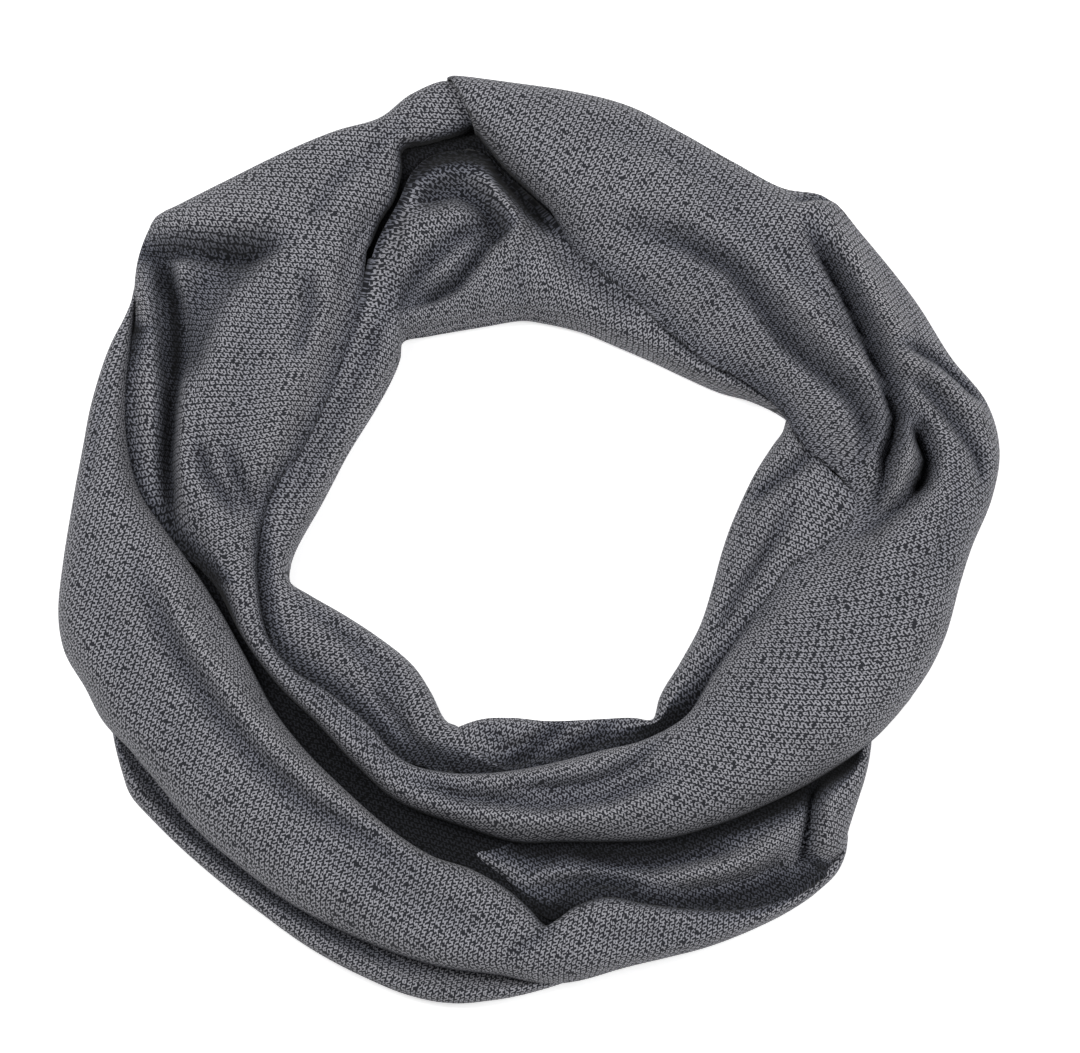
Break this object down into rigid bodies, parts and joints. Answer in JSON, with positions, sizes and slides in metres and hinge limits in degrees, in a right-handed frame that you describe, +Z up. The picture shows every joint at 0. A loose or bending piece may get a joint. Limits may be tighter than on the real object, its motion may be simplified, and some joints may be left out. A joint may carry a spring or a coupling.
{
  "type": "infinity scarf",
  "caption": "Endless cloth band in a two-tone grey fleck jersey, wound double into a ring and laid flat, for wear round the neck.",
  "frame": {"origin": "middle of the bounding box, at the height of the floor it lies on", "axes": "+Z up from the floor, the ring's axis and shortest extent; +X to the side on which the strands cross; +Y away from the viewer's near side"},
  "size_m": [0.3573, 0.3544, 0.045],
  "materials": {
    "fleck_jersey": "matte, light grey flecks on charcoal, fine repeat",
    "inner_jersey": "matte, plain, out of sight"
  },
  "bodies": {
    "root": {"upper_right_stretch": "fleck_jersey", "upper_left_stretch": "fleck_jersey", "outer_left_stretch": "fleck_jersey", "inner_stretch": "fleck_jersey", "right_inner_stretch": "fleck_jersey", "bottom_right_stretch": "fleck_jersey", "under_layer_lip": "fleck_jersey", "hidden_layers": "inner_jersey"}
  },
  "joints": []
}
